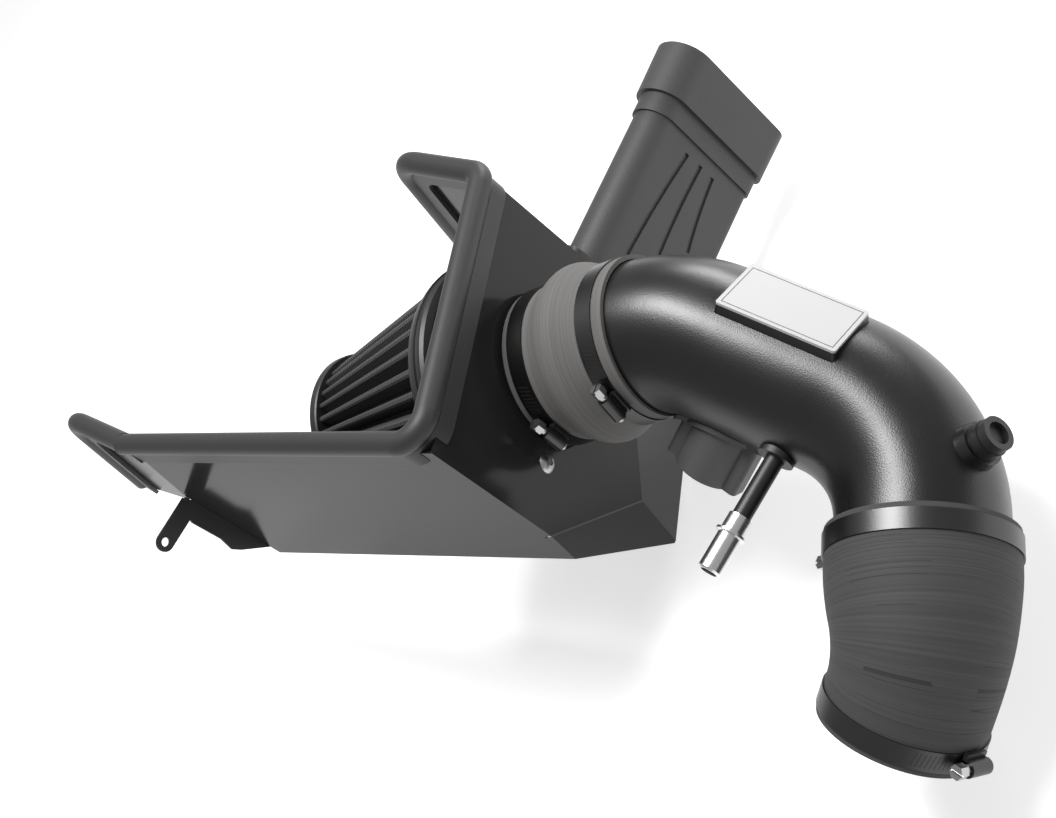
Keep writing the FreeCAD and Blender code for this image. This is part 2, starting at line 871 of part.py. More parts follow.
def corner_round(corner, along, down, normal, r):
    """Waste outside a rounded free corner of the sheet."""
    turn = math.degrees(along.getAngle(down))
    reach = r * math.tan(math.radians(turn / 2))
    start = corner - along * reach
    centre = start + perpendicular(along, down) * r
    wedge = Part.makePolygon([corner, start, centre, corner + down * reach, corner])
    block = Part.Face(wedge).extrude(normal * (8 * sheet))
    block.translate(normal * (-4 * sheet))
    disc = Part.makeCylinder(r, 16 * sheet, centre - normal * (8 * sheet), normal)
    return block.cut(disc)


def rear_edge_frame():
    """Free corner of the rear wall, its direction down the edge and along the top."""
    down = rear_run * sind(rear_edge_lean) - Vector(0, 0, 1) * cosd(rear_edge_lean)
    return rear_point(rear_length, wall_top_z), down


def below_line(start, end):
    """Everything under the slope from one point to another."""
    slope = end - start
    block = Part.makeBox(2 * far, far, 2 * far, Vector(-far, -far, -far))
    across = slope.cross(perpendicular(slope, Vector(0, 0, 1))).normalize()
    return place(block, start, across, slope.normalize())


def return_notch():
    """What the return loses under the slope from the front foot to the return's end."""
    low_end = return_end + fold_down * ((wall_top_z - front_end_z) / -fold_down.z)
    notch = below_line(front_foot_corner + Vector(0, 0, front_notch_z), low_end)
    fold = perpendicular(fold_down, front_run + return_run)
    wall = half_space(front_foot_corner, front_run).common(half_space(return_corner, fold))
    return notch.cut(wall)


def front_foot():
    """Flat foot at the end of the front wall, under the notch."""
    middle = front_corner + front_run * (front_foot_length / 2)
    slab = Part.makeBox(front_foot_length / 2, far, sheet)
    start = middle + Vector(0, 0, front_notch_z) - front_out * sheet
    return keep_behind(place(slab, start, front_out, front_run), [front_foot_edge()])


def rear_lug():
    """Pointed foot of the rear wall, under the keel facet."""
    corners = [rear_point(0, keel_end.z), rear_point(0, rear_foot_z),
               rear_point(rear_foot_run, rear_foot_z)]
    return Part.Face(Part.makePolygon(corners + corners[:1])).extrude(rear_out * -sheet)


def seam_gap():
    """Narrow slit along the fold between the chin and the keel facet."""
    seam = keel - chin
    slit = Part.makeBox(seam.Length - 2 * seam_end, seam_width, 8 * sheet,
                        Vector(seam_end, -seam_width, -5 * sheet))
    return place(slit, chin, Vector(1, 0, 0), seam.normalize())


def build_shield():
    sheet_metal = keep_behind(build_shield_blank(0.0), free_edges())
    sheet_metal = sheet_metal.cut([rear_waste(), return_notch()])
    sheet_metal = sheet_metal.fuse([rear_lug(), front_foot()])
    waste = []
    waste.append(corner_round(return_end, return_run, fold_down, return_out,
                              front_corner_radius))
    rear_end, rear_down = rear_edge_frame()
    waste.append(corner_round(rear_end, rear_run, rear_down, rear_out, rear_corner_radius))
    waste.append(cylinder(hole_radius, -wall_cut, wall_cut))
    for angle in adapter_screw_angles:
        waste.append(adapter_screw_hole(angle))
    waste += [seam_gap(), duct_opening()]
    for at in duct_screw_points():
        waste.append(duct_screw_hole(at))
    return sheet_metal.cut(waste).removeSplitter()


# Edge trim
def trim_section(origin, along, up):
    """Face of the trim's section: a block over the edge with a bulb on top."""
    half = sheet / 2 + trim_wall
    outline = [Vector(-half, -trim_leg, 0), Vector(half, -trim_leg, 0)]
    outline += [Vector(half, trim_web, 0), Vector(-half, trim_web, 0)]
    block = Part.Face(Part.makePolygon(outline + outline[:1]))
    bulb = Part.makeCircle(bulb_radius, Vector(0, trim_web + bulb_rise, 0))
    section = block.fuse(Part.Face(Part.Wire(bulb))).removeSplitter()
    return place(section, origin, along, up.cross(along))


def bulb_hole(end, along, up):
    """Blind hollow in the bulb, seen at the trim's cut end."""
    at = end + up * (trim_web + bulb_rise)
    return cylinder(bulb_radius - bulb_wall, -1, bulb_hollow_depth, along, at)


def trim_path():
    """Folds of the sheet's top edge at mid-thickness, from the front return to the rear."""
    walls = [return_wall, front_wall, main_wall, rear_wall]
    top = level(wall_top_z)
    corners = []
    for first, second in zip(walls, walls[1:]):
        corners.append(meet(offset(first, -sheet / 2), offset(second, -sheet / 2), top))
    return corners


def trim_run(points, up, radii):
    """Trim from a section at the first point, with a turn of given radius at each corner."""
    at = points[0]
    pieces = []
    for corner, after, r in zip(points[1:], points[2:], radii):
        along = (corner - at).normalize()
        onward = (after - corner).normalize()
        angle = math.degrees(along.getAngle(onward))
        reach = r * math.tan(math.radians(angle / 2))
        stop = corner - along * reach
        pieces.append(trim_section(at, along, up).extrude(stop - at))
        axis = along.cross(onward)
        pivot = stop + perpendicular(along, onward) * r
        pieces.append(trim_section(stop, along, up).revolve(pivot, axis, angle))
        up = Rotation(axis, angle).multVec(up)
        at = corner + onward * reach
    onward = (points[-1] - at).normalize()
    pieces.append(trim_section(at, onward, up).extrude(points[-1] - at))
    return union(pieces)


def build_trim():
    folds = trim_path()
    mitre = (front_run + return_run).normalize()
    lean = perpendicular(return_run, fold_down) * -1
    front_end = return_end - return_out * (sheet / 2)
    drop = (wall_top_z - front_end_z - trim_end_inset) / -fold_down.z
    front_foot = front_end + fold_down * drop
    start = folds[0] - return_run * trim_mitre_length
    first = trim_run([start, front_end, front_foot], lean, [front_corner_radius])
    first = first.cut(half_space(folds[0] - mitre * trim_mitre_lap, mitre))
    rear_end, rear_down = rear_edge_frame()
    rear_end = rear_end - rear_out * (sheet / 2)
    drop = (rear_end.z - rear_edge_z - trim_end_inset) / -rear_down.z
    rear_foot = rear_end + rear_down * drop
    start = folds[0] + front_run * trim_mitre_length
    radii = [trim_turn_radius, trim_turn_radius, rear_corner_radius]
    path = [start] + folds[1:] + [rear_end, rear_foot]
    second = trim_run(path, Vector(0, 0, 1), radii)
    second = second.common(half_space(folds[0], mitre))
    holes = [bulb_hole(front_foot, fold_down * -1, perpendicular(fold_down, return_run)),
             bulb_hole(rear_foot, rear_down * -1, perpendicular(rear_down, rear_run))]
    trim = first.fuse(second).cut(holes)
    grown = keep_behind(build_shield_blank(trim_gap), free_edges(), trim_gap)
    return trim.cut(grown.cut(rear_waste(trim_gap))).removeSplitter()


# Mounting bracket
def build_bracket():
    """Stamped plate on the front wall's free edge: x leaves the wall, y is up."""
    half = strap_width / 2
    tip = Vector(bracket_hole_out, bracket_hole_z, 0)
    along = Vector(cosd(strap_lean), sind(strap_lean), 0)
    across = Vector(-sind(strap_lean), cosd(strap_lean), 0)
    root = tip - along * (bracket_hole_out - bracket_gap - bracket_root_inset)
    back = -sheet - bracket_thickness
    notch_z = front_notch_z - bracket_drop
    foot_z = bracket_foot_z
    strap = [root + across * half, tip + across * half, tip - across * half,
             root - across * half]
    web = [(bracket_gap, bracket_root_z + half),
           (bracket_web_top[0], bracket_root_z + half),
           (bracket_web_top[1], bracket_root_z - half)]
    web += [(out, foot_z + up) for out, up in bracket_web_low]
    web += [(bracket_gap, foot_z), (back, foot_z), (back, notch_z), (bracket_gap, notch_z)]
    plate = prism([(p.x, p.y) for p in strap], bracket_thickness)
    end = Part.makeCylinder(half, bracket_thickness, tip)
    leg = Part.makeBox(bracket_thickness, notch_z - foot_z, bracket_leg,
                       Vector(back, foot_z, bracket_thickness - bracket_leg))
    hole = Part.makeCylinder(bracket_hole_radius, 4 * bracket_thickness,
                             tip - Vector(0, 0, bracket_thickness))
    body = plate.fuse([end, prism(web, bracket_thickness), leg]).cut(hole).removeSplitter()
    return place(body, front_foot_corner + front_run * bracket_gap, front_run, front_out)


# Filter adapter with its screws
def adapter_screw_at(angle):
    """Place of one adapter screw on the main wall's face."""
    return Vector(0, adapter_screw_radius * cosd(angle), adapter_screw_radius * sind(angle))


def adapter_screw_hole(angle):
    return cylinder(m6_radius + m6_clearance, -wall_cut, wall_cut,
                    origin=adapter_screw_at(angle))


def build_adapter():
    back = wall_x - adapter_flange
    outer = tube_radius
    inner = tube_radius - adapter_wall
    points = [(adapter_reach, inner), (adapter_reach, outer), (wall_x, outer),
              (wall_x, adapter_flange_radius), (back, adapter_flange_radius),
              (back, outer), (back - adapter_neck, outer), (back - adapter_neck, inner)]
    return revolve_x(points).cut([adapter_screw_hole(angle) for angle in adapter_screw_angles])


def hexagon(flats, height):
    radius = flats / 2 / cosd(30)
    return prism([(radius * cosd(60 * k), radius * sind(60 * k)) for k in range(6)], height)


def button_screw(shank, head, head_height, length, socket):
    """Button-head screw along -Z with its head standing on the XY plane."""
    dome_radius = (head ** 2 + head_height ** 2) / (2 * head_height)
    dome = Part.makeSphere(dome_radius, Vector(0, 0, head_height - dome_radius))
    dome = dome.common(Part.makeCylinder(head, head_height))
    body = Part.makeCylinder(shank, length, Vector(0, 0, -length))
    recess = hexagon(socket, head_height)
    recess.translate(Vector(0, 0, head_height * 0.4))
    return dome.fuse(body).cut(recess).removeSplitter()


def nut(shank, flats, height):
    return hexagon(flats, height).cut(Part.makeCylinder(shank + nut_gap, height))


def build_adapter_fasteners():
    screws, nuts = [], []
    for angle in adapter_screw_angles:
        at = adapter_screw_at(angle)
        spin = Vector(0, -sind(angle), cosd(angle))
        length = sheet + adapter_flange + nut_height + screw_spare
        screw = button_screw(m6_radius, button_radius, button_height, length, button_socket)
        screws.append(place(screw, at, Vector(1, 0, 0), spin))
        back = at + Vector(wall_x - adapter_flange, 0, 0)
        nuts.append(place(nut(m6_radius, nut_flats, nut_height), back, Vector(-1, 0, 0), spin))
    return Part.makeCompound(screws), Part.makeCompound(nuts)


# Cone filter
def build_filter_base():
    """Moulded neck, flange and shoulder that carry the pleats."""
    inner = tube_radius + fit_gap
    neck = inner + filter_neck_wall
    front = wall_x - adapter_flange - filter_front_gap
    rim = filter_base_radius
    face = filter_base_x
    back = face - filter_base_length
    seat = filter_shoulder_x
    points = [(front, inner), (front, neck),
              (front - filter_neck_length + filter_neck_step, neck),
              (face - 2, neck + filter_root), (face, rim - 5), (face - 2, rim - 1),
              (face - 4.5, rim), (face - 7, rim - 1.6), (face - 9.5, rim - 1.6),
              (back, rim - 0.5), (back - 3, rim - 1.5),
              (seat, media_base_radius + media_overhang),
              (seat, media_base_radius - pleat_depth - media_step),
              (back, inner + filter_root), (front - filter_neck_length, inner)]
    return revolve_x(points)


def star(radius, depth, tip, x):
    """Closed outline of rounded pleats at one station of the cone."""
    corners = []
    pitch = 360.0 / pleat_count
    tip_angle = math.degrees(tip / radius)
    for k in range(pleat_count):
        middle = pitch * k
        for share, drop in ((-0.5, 1), (-pleat_crown, 0), (pleat_crown, 0), (0.5, 1)):
            angle = middle + tip_angle * share
            corners.append((radius - drop * pleat_crown * tip, angle))
        for share in (-pleat_valley, pleat_valley):
            corners.append((radius - depth, middle + pitch / 2 + tip_angle * share))
    points = [Vector(x, r * cosd(a), r * sind(a)) for r, a in corners]
    points.append(points[0])
    return Part.makePolygon(points)


def pleat_cone(offset, longer=0.0):
    """Cone of pleats between the base and the cap, moved in by an offset."""
    start = filter_shoulder_x + longer
    end = filter_cap_x - longer
    slope = (media_base_radius - media_cap_radius) / (start - end)
    near = media_base_radius - offset + slope * longer
    distant = media_cap_radius - offset - slope * longer
    scale = distant / near
    wires = [star(near, pleat_depth, pleat_tip, start),
             star(distant, pleat_depth * scale, pleat_tip * scale, end)]
    return Part.makeLoft(wires, True, True)


def build_media():
    return pleat_cone(0.0).cut(pleat_cone(media_thickness, 2.0))


def build_filter_cap():
    """Moulded end cap with a rounded rim around the pleats."""
    x = filter_cap_x
    rim = filter_cap_radius
    end = x - filter_cap_length
    lip = rim - filter_cap_lip
    floor = end + filter_cap_floor
    disc = revolve_x([(x, lip), (x, rim - 0.6), (x - 1.0, rim), (end + 2.5, rim),
                      (end, rim - 3.0), (end, 0.0), (floor, 0.0), (floor, lip)])
    hub = cylinder(lip + 0.1, floor - 0.1, x)
    return disc.fuse(hub).removeSplitter()


def cage_ring(start, end, radius, fall):
    """Thin conical ring whose outer radius falls by a share of its length."""
    low = radius - fall * abs(end - start)
    return revolve_x([(start, radius - cage_wire), (start, radius), (end, low),
                      (end, low - cage_wire)])


def build_cage():
    """Wire cage inside the pleats: two end hoops joined by bars."""
    start = filter_shoulder_x - fit_gap
    end = filter_cap_x + fit_gap
    wide = media_base_radius - media_thickness - pleat_depth - cage_gap
    scale = (media_cap_radius - media_thickness) / (media_base_radius - media_thickness)
    narrow = wide * scale
    fall = (wide - narrow) / (start - end)
    hoops = [cage_ring(start, start - cage_hoop, wide, fall),
             cage_ring(end + cage_hoop, end, narrow + fall * cage_hoop, fall)]
    cone = cage_ring(start, end, wide, fall)
    bars = []
    for k in range(cage_bars):
        bar = Part.makeBox(start - end, cage_bar, far, Vector(end, -cage_bar / 2, 0))
        bar.rotate(Vector(0, 0, 0), Vector(1, 0, 0), 360.0 * (k + 0.5) / cage_bars)
        bars.append(cone.common(bar))
    return hoops[0].fuse(hoops[1:] + bars).removeSplitter()


# Inlet duct: a flat box run out through the rear wall, with its grooved face towards +X
duct_run = Vector(sind(duct_turn), cosd(duct_turn), 0)
duct_side = Vector(cosd(duct_turn), -sind(duct_turn), 0)
duct_middle = duct_face_side - duct_depth / 2
duct_centre_z = duct_top_z - duct_height / 2


def duct_axis_point(distance):
    return duct_run * distance + duct_side * duct_middle + Vector(0, 0, duct_centre_z)


def duct_wall_distance():
    """Distance along the duct's axis at which it meets the rear wall."""
    base = duct_axis_point(0)
    return (rear_corner - base).dot(rear_out) / duct_run.dot(rear_out)


def duct_section(grow, distance):
    wire = rounded_box(duct_depth + 2 * grow, duct_height + 2 * grow,
                       duct_top_corner + grow, duct_low_corner + grow)
    return place(wire, duct_axis_point(distance), duct_run, duct_side)


def duct_prism(grow, start, end):
    face = Part.Face(duct_section(grow, start))
    return face.extrude(duct_run * (end - start))


def duct_opening():
    middle = duct_wall_distance()
    return duct_prism(-duct_wall, middle - duct_opening_reach, middle + duct_opening_reach)


def duct_flange_box(thickness, lift):
    """Flat flange or gasket blank on the rear wall's outer face."""
    at = duct_axis_point(duct_wall_distance())
    depth = duct_depth / rear_out.dot(duct_run)
    wire = rounded_box(depth + 2 * duct_flange_side, duct_height + 2 * duct_flange_end,
                       duct_flange_corner)
    blank = slab(wire, thickness)
    return place(blank, at + rear_out * lift, rear_out, rear_run * -1)


def duct_screw_points():
    at = duct_axis_point(duct_wall_distance())
    reach = duct_height / 2 + duct_screw_inset
    points = []
    for side in (-1, 1):
        for up in (-1, 1):
            points.append(at + rear_run * (side * (duct_depth / 2 - duct_screw_inset))
                          + Vector(0, 0, up * reach))
    return points


def duct_screw_hole(at):
    return cylinder(m5_radius + m5_clearance, -wall_cut, wall_cut, rear_out, at)


def groove(start, z_start, end, z_end):
    """Pressed groove on the duct's broad face between two distances."""
    face = duct_side * duct_face_side
    a = face + duct_run * start + Vector(0, 0, z_start)
    b = face + duct_run * end + Vector(0, 0, z_end)
    bow = (a + b) * 0.5 + Vector(0, 0, groove_bow)
    spine = Part.Wire(Part.Arc(a, bow, b).toShape())
    across = duct_side.cross((bow - a).normalize())
    half = groove_width / 2
    foot = half - groove_taper
    corners = [a + across * half + duct_side, a - across * half + duct_side,
               a - across * foot - duct_side * groove_depth,
               a + across * foot - duct_side * groove_depth]
    profile = Part.makePolygon(corners + [corners[0]])
    return spine.makePipeShell([profile], True, False)


def build_duct():
    base = duct_wall_distance()
    start = base - duct_start_back
    flare_top = flare_step + flare_rise
    body = duct_prism(0, start, duct_collar_start + duct_lap)
    collar = duct_prism(collar_step, duct_collar_start, duct_flare_start + duct_lap)
    flare = Part.makeLoft([duct_section(flare_step, duct_flare_start),
                           duct_section(flare_top, duct_end)], True, True)
    outer = body.fuse([collar, flare])
    seat = half_space(rear_corner + rear_out * gasket, rear_out)
    outer = outer.cut(seat).fuse(duct_flange_box(duct_flange, gasket))
    passage = duct_prism(-duct_wall, start, duct_flare_start + duct_wall)
    mouth_start = duct_flare_start + duct_wall - duct_lap / 2
    mouth = Part.makeLoft([duct_section(flare_step - duct_wall, mouth_start),
                           duct_section(flare_top - duct_wall, duct_end + duct_lap)],
                          True, True)
    cuts = [passage, mouth]
    cuts += [groove(*ends) for ends in duct_grooves]
    cuts += [duct_screw_hole(at) for at in duct_screw_points()]
    return outer.cut(cuts).removeSplitter()


def build_gasket():
    cuts = [duct_opening()] + [duct_screw_hole(at) for at in duct_screw_points()]
    return duct_flange_box(gasket, 0.0).cut(cuts).removeSplitter()


def build_duct_fasteners():
    screws, nuts = [], []
    stack = gasket + duct_flange
    for at in duct_screw_points():
        screw = button_screw(m5_radius, m5_head_radius, m5_head_height,
                             stack + sheet + m5_spare, m5_socket)
        screws.append(place(screw, at + rear_out * stack, rear_out, rear_run))
        held = nut(m5_radius, m5_nut_flats, m5_nut_height)
        nuts.append(place(held, at - rear_out * sheet, rear_out * -1, rear_run))
    return Part.makeCompound(screws), Part.makeCompound(nuts)


def build_all():
    parts = {
        "heat_shield": build_shield(),
        "edge_trim": build_trim(),
        "mounting_bracket": build_bracket(),
        "filter_adapter": build_adapter(),
        "filter_base": build_filter_base(),
        "filter_media": build_media(),
        "filter_cap": build_filter_cap(),
        "filter_cage": build_cage(),
        "filter_hose": build_filter_hose(),
        "intake_tube": build_tube(),
        "badge_plate": build_plate(),
        "sensor_mount": build_sensor_mount(),
        "vent_grommet": build_grommet(),
        "vent_pipe": build_vent_pipe(),
        "vent_nipple": build_nipple(),
        "plug_insert": build_insert(),
        "vacuum_plug": build_plug(),
        "elbow_hose": build_elbow(),
        "inlet_duct": build_duct(),
        "duct_gasket": build_gasket(),
    }
    parts["adapter_screws"], parts["adapter_nuts"] = build_adapter_fasteners()
    parts["duct_screws"], parts["duct_nuts"] = build_duct_fasteners()
    parts.update(build_clamps())
    return parts


def export_all():
    """Write each piece with the throttle hose's mouth centre as the origin."""
    os.makedirs("parts", exist_ok=True)
    for name, shape in build_all().items():
        moved = shape.copy()
        moved.translate(mouth_point * -1)
        moved.exportStep("parts/%s.step" % name)
        print(name, len(moved.Solids), round(moved.Volume / 1000, 2), moved.isValid())


export_all()
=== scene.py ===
import math

import bpy
from mathutils import Matrix, Vector


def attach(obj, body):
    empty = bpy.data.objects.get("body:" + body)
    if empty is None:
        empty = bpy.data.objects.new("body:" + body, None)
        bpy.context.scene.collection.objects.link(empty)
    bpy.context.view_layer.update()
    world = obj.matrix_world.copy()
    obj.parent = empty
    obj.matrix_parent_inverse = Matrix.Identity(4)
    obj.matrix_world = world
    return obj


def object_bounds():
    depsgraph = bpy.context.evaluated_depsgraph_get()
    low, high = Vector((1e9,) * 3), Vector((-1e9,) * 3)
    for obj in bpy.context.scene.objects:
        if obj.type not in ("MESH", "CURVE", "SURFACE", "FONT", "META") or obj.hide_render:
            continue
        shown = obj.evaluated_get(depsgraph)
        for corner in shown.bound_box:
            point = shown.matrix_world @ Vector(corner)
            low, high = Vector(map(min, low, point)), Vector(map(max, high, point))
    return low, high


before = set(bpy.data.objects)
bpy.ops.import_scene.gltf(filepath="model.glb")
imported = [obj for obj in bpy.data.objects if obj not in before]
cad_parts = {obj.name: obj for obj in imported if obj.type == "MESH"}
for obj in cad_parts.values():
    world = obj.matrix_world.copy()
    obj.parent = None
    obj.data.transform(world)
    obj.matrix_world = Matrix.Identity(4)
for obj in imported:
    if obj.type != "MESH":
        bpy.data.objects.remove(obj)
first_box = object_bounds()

# Places are in metres in the row frame: its origin is the centre of the throttle mouth
MM = 0.001
HOLE = Vector((-182.698, 209.633, 106.627)) * MM  # centre of the hose hole in the main wall
TUBE_START = Vector((1, 0, 0))  # the way the tube leaves that wall

# Camera, at the photograph's angle
PHOTO_WIDTH = 1056
FOCAL_PX = 1700
SENSOR = 36
CAMERA_AT = Vector((0.43216, -0.33286, 0.69456))
RIGHT = Vector((0.742965, 0.166177, -0.648373))
UP = Vector((0.236989, 0.840626, 0.487015))
BACK = Vector((0.625971, -0.515492, 0.585174))
NEAREST, FARTHEST = 0.01, 50.0

# Elbow's centreline: a straight length, a bend about a hinge and a straight tail
ELBOW_STRAIGHT = 43 * MM
ELBOW_RADIUS = 60 * MM
ELBOW_ANGLE = math.radians(41.2)
ELBOW_START = Vector((24.737, 48.6876, 23.3873)) * MM  # where the bend starts
ELBOW_FROM = Vector((-0.0447, -0.9838, -0.1736))
ELBOW_ACROSS = Vector((-0.8373, 0.1317, -0.5306))
ELBOW_TO = Vector((-0.5852, -0.6535, -0.4801))

# Hoses and the bands of their clamps
FILTER_HOSE_RADIUS = 47.3 * MM
ELBOW_HOSE_RADIUS = 49.25 * MM
THROTTLE_HOSE_RADIUS = 42.05 * MM
BAND_LIFT = 0.95 * MM  # band's outer face above the hose
SHIELD_BAND_X = 12.5 * MM  # middle of the band, from the main wall
TUBE_BAND_X = 63.5 * MM
ELBOW_BAND_INSET = 8.5 * MM  # middle of the band, from the elbow's end


def on_axis(x):
    """Point on the tube's first axis at a distance from the main wall."""
    return HOLE + TUBE_START * x


def radial(axis, roll):
    """Direction out of a hose: 0 degrees is up, 90 is the side away from the shield."""
    up = Vector((0, 0, 1))
    up = (up - axis * axis.dot(up)).normalized()
    turn = math.radians(roll)
    return up * math.cos(turn) + axis.cross(up) * math.sin(turn)


# Sockets of a mix node that mixes colours
MIX_FIRST, MIX_SECOND, MIX_RESULT = 6, 7, 2


# Finishes
class Finish:
    """A material with short names for the nodes that it needs."""

    def __init__(self, name, tone, rough, metal=0.0, coat=0.0, coat_rough=0.1, spec=0.5):
        self.name = name
        self.material = bpy.data.materials.new(name)
        self.material.use_nodes = True
        self.tree = self.material.node_tree
        self.shader = self.tree.nodes["Principled BSDF"]
        self.set("Base Color", opaque(tone))
        self.set("Roughness", rough)
        self.set("Metallic", metal)
        self.set("Coat Weight", coat)
        self.set("Coat Roughness", coat_rough)
        self.set("Specular IOR Level", spec)
        self.bump = None

    def set(self, socket, value):
        self.shader.inputs[socket].default_value = value

    def node(self, kind, **values):
        made = self.tree.nodes.new(kind)
        for key, value in values.items():
            setattr(made, key, value)
        return made

    def link(self, source, target):
        self.tree.links.new(source, target)

    def where(self):
        return self.node("ShaderNodeTexCoord").outputs["Object"]

    def math(self, operation, *values):
        made = self.node("ShaderNodeMath", operation=operation)
        for socket, value in zip(made.inputs, values):
            if isinstance(value, (int, float)):
                socket.default_value = value
            else:
                self.link(value, socket)
        return made.outputs[0]

    def dot(self, vector, direction, origin=Vector((0, 0, 0))):
        """Distance of a place from an origin along a direction."""
        shifted = self.node("ShaderNodeVectorMath", operation="SUBTRACT")
        self.link(vector, shifted.inputs[0])
        shifted.inputs[1].default_value = origin
        made = self.node("ShaderNodeVectorMath", operation="DOT_PRODUCT")
        self.link(shifted.outputs[0], made.inputs[0])
        made.inputs[1].default_value = direction
        return made.outputs["Value"]

    def noise(self, vector, scale, detail=2.0, rough=0.5):
        made = self.node("ShaderNodeTexNoise")
        made.inputs["Scale"].default_value = scale
        made.inputs["Detail"].default_value = detail
        made.inputs["Roughness"].default_value = rough
        self.link(vector, made.inputs["Vector"])
        return made.outputs["Fac"]

    def cells(self, vector, scale):
        made = self.node("ShaderNodeTexVoronoi", feature="SMOOTH_F1")
        made.inputs["Scale"].default_value = scale
        self.link(vector, made.inputs["Vector"])
        return made.outputs["Distance"]

    def ramp(self, factor, low, high, start, end):
        """Colour between two tones as a factor goes from start to end."""
        made = self.node("ShaderNodeValToRGB")
        first, last = made.color_ramp.elements
        first.position, last.position = start, end
        first.color, last.color = opaque(low), opaque(high)
        self.link(factor, made.inputs["Fac"])
        return made.outputs["Color"]

    def mix(self, factor, first, second):
        """First colour where the factor is 0, and the second tone where it is 1."""
        made = self.node("ShaderNodeMix", data_type="RGBA")
        self.link(factor, made.inputs["Factor"])
        self.link(first, made.inputs[MIX_FIRST])
        made.inputs[MIX_SECOND].default_value = opaque(second)
        return made.outputs[MIX_RESULT]

    def raise_by(self, height, depth):
        """Bump of a given depth in metres, laid over any bump made before."""
        made = self.node("ShaderNodeBump")
        made.inputs["Distance"].default_value = depth
        made.inputs["Strength"].default_value = 1.0
        self.link(height, made.inputs["Height"])
        if self.bump is not None:
            self.link(self.bump, made.inputs["Normal"])
        self.bump = made.outputs["Normal"]
        self.link(self.bump, self.shader.inputs["Normal"])


def grey(value, warmth=0.0):
    return (value * (1 + warmth), value, value * (1 - warmth))


def scaled(tone, factor):
    return [channel * factor for channel in tone]


def opaque(tone):
    return (tone[0], tone[1], tone[2], 1.0)


GRAIN_DETAIL = 3.0


def grained(name, tone, rough, scale, depth, **more):
    """A finish with an even fine grain."""
    finish = Finish(name, tone, rough, **more)
    finish.raise_by(finish.noise(finish.where(), scale, GRAIN_DETAIL), depth)
    return finish


# Leather grain: a slow wave, as shares of the cells' scale and depth, and an uneven gloss
WAVE_SCALE = 0.4
WAVE_DEPTH = 0.3
GLOSS_SCALE = 25.0
GLOSS_RANGE = 0.16


def leather(name, tone, rough, scale, depth, **more):
    """Moulded leather grain: small rounded cells with an uneven gloss."""
    finish = Finish(name, tone, rough, **more)
    where = finish.where()
    finish.raise_by(finish.cells(where, scale), depth)
    finish.raise_by(finish.noise(where, scale * WAVE_SCALE), depth * WAVE_DEPTH)
    gloss = finish.noise(where, GLOSS_SCALE, GRAIN_DETAIL)
    uneven = finish.math("MULTIPLY_ADD", gloss, GLOSS_RANGE, rough - GLOSS_RANGE / 2)
    finish.link(uneven, finish.shader.inputs["Roughness"])
    return finish


# Cloth wrap: fine streaks, and creases where a slow wave crosses its middle, in patches
STREAK_STRETCH = 0.012  # how fast the streaks change round the hose, against along it
STREAK_SCALE = 1000.0
STREAK_ROUGH = 0.6
STREAK_START, STREAK_END = 0.35, 0.65
STREAK_HEIGHT = 0.5
WRAP_DEPTH = 0.35 * MM
CREASE_SCALE = 150.0
CREASE_WIDTH = 0.004
# Tone in the creases, as a share of the hose's: painted shade
CREASE_PAINTED_SHADE = 0.35
CREASE_PATCH_SCALE = 24.0
CREASE_PATCH_FROM = 0.48


def wrapped(name, tone, rough, along, contrast, creases):
    """Cloth-wrapped silicone: fine streaks round the hose and a few thin sunk creases with
    painted shade.
    along(finish, where) gives the distance along it in metres."""
    finish = Finish(name, tone, rough, spec=0.3)
    where = finish.where()
    distance = finish.node("ShaderNodeCombineXYZ")
    finish.link(along(finish, where), distance.inputs["X"])
    stretched = finish.node("ShaderNodeVectorMath", operation="MULTIPLY_ADD")
    finish.link(where, stretched.inputs[0])
    stretched.inputs[1].default_value = [STREAK_STRETCH] * 3
    finish.link(distance.outputs[0], stretched.inputs[2])
    streaks = finish.noise(stretched.outputs[0], STREAK_SCALE, GRAIN_DETAIL, STREAK_ROUGH)
    colour = finish.ramp(streaks, scaled(tone, 1 - contrast), scaled(tone, 1 + contrast),
                         STREAK_START, STREAK_END)
    wave = finish.noise(stretched.outputs[0], CREASE_SCALE, detail=1.0)
    from_middle = finish.math("ABSOLUTE", finish.math("SUBTRACT", wave, 0.5))
    thin = finish.math("LESS_THAN", from_middle, CREASE_WIDTH)
    patch = finish.math("GREATER_THAN", finish.noise(where, CREASE_PATCH_SCALE, detail=1.0),
                        CREASE_PATCH_FROM)
    crease_and_shade = finish.math("MULTIPLY", finish.math("MULTIPLY", thin, patch), creases)
    # The creases are darkened: painted shade
    finish.link(finish.mix(crease_and_shade, colour, scaled(tone, CREASE_PAINTED_SHADE)),
                finish.shader.inputs["Base Color"])
    height = finish.math("SUBTRACT", finish.math("MULTIPLY", streaks, STREAK_HEIGHT), crease_and_shade)
    finish.raise_by(height, WRAP_DEPTH)
    return finish


def along_elbow(finish, where):
    """Distance along the elbow's centreline from the start of its bend."""
    hinge = ELBOW_START + ELBOW_ACROSS * ELBOW_RADIUS
    side = finish.dot(where, ELBOW_ACROSS * -1, hinge)
    ahead = finish.dot(where, ELBOW_FROM, hinge)
    turned = finish.math("ARCTAN2", ahead, side)
    bent = finish.math("MINIMUM", finish.math("MAXIMUM", turned, 0.0), ELBOW_ANGLE)
    before = finish.math("MINIMUM", ahead, 0.0)
    after = finish.math("MAXIMUM", finish.dot(where, ELBOW_TO, hinge), 0.0)
    total = finish.math("MULTIPLY_ADD", bent, ELBOW_RADIUS, before)
    return finish.math("ADD", total, after)


def along_hose(finish, where):
    return finish.dot(where, TUBE_START)


# Wire mesh over the filter's pleats
MESH_SCALE = 130.0
MESH_DEPTH = 0.3 * MM
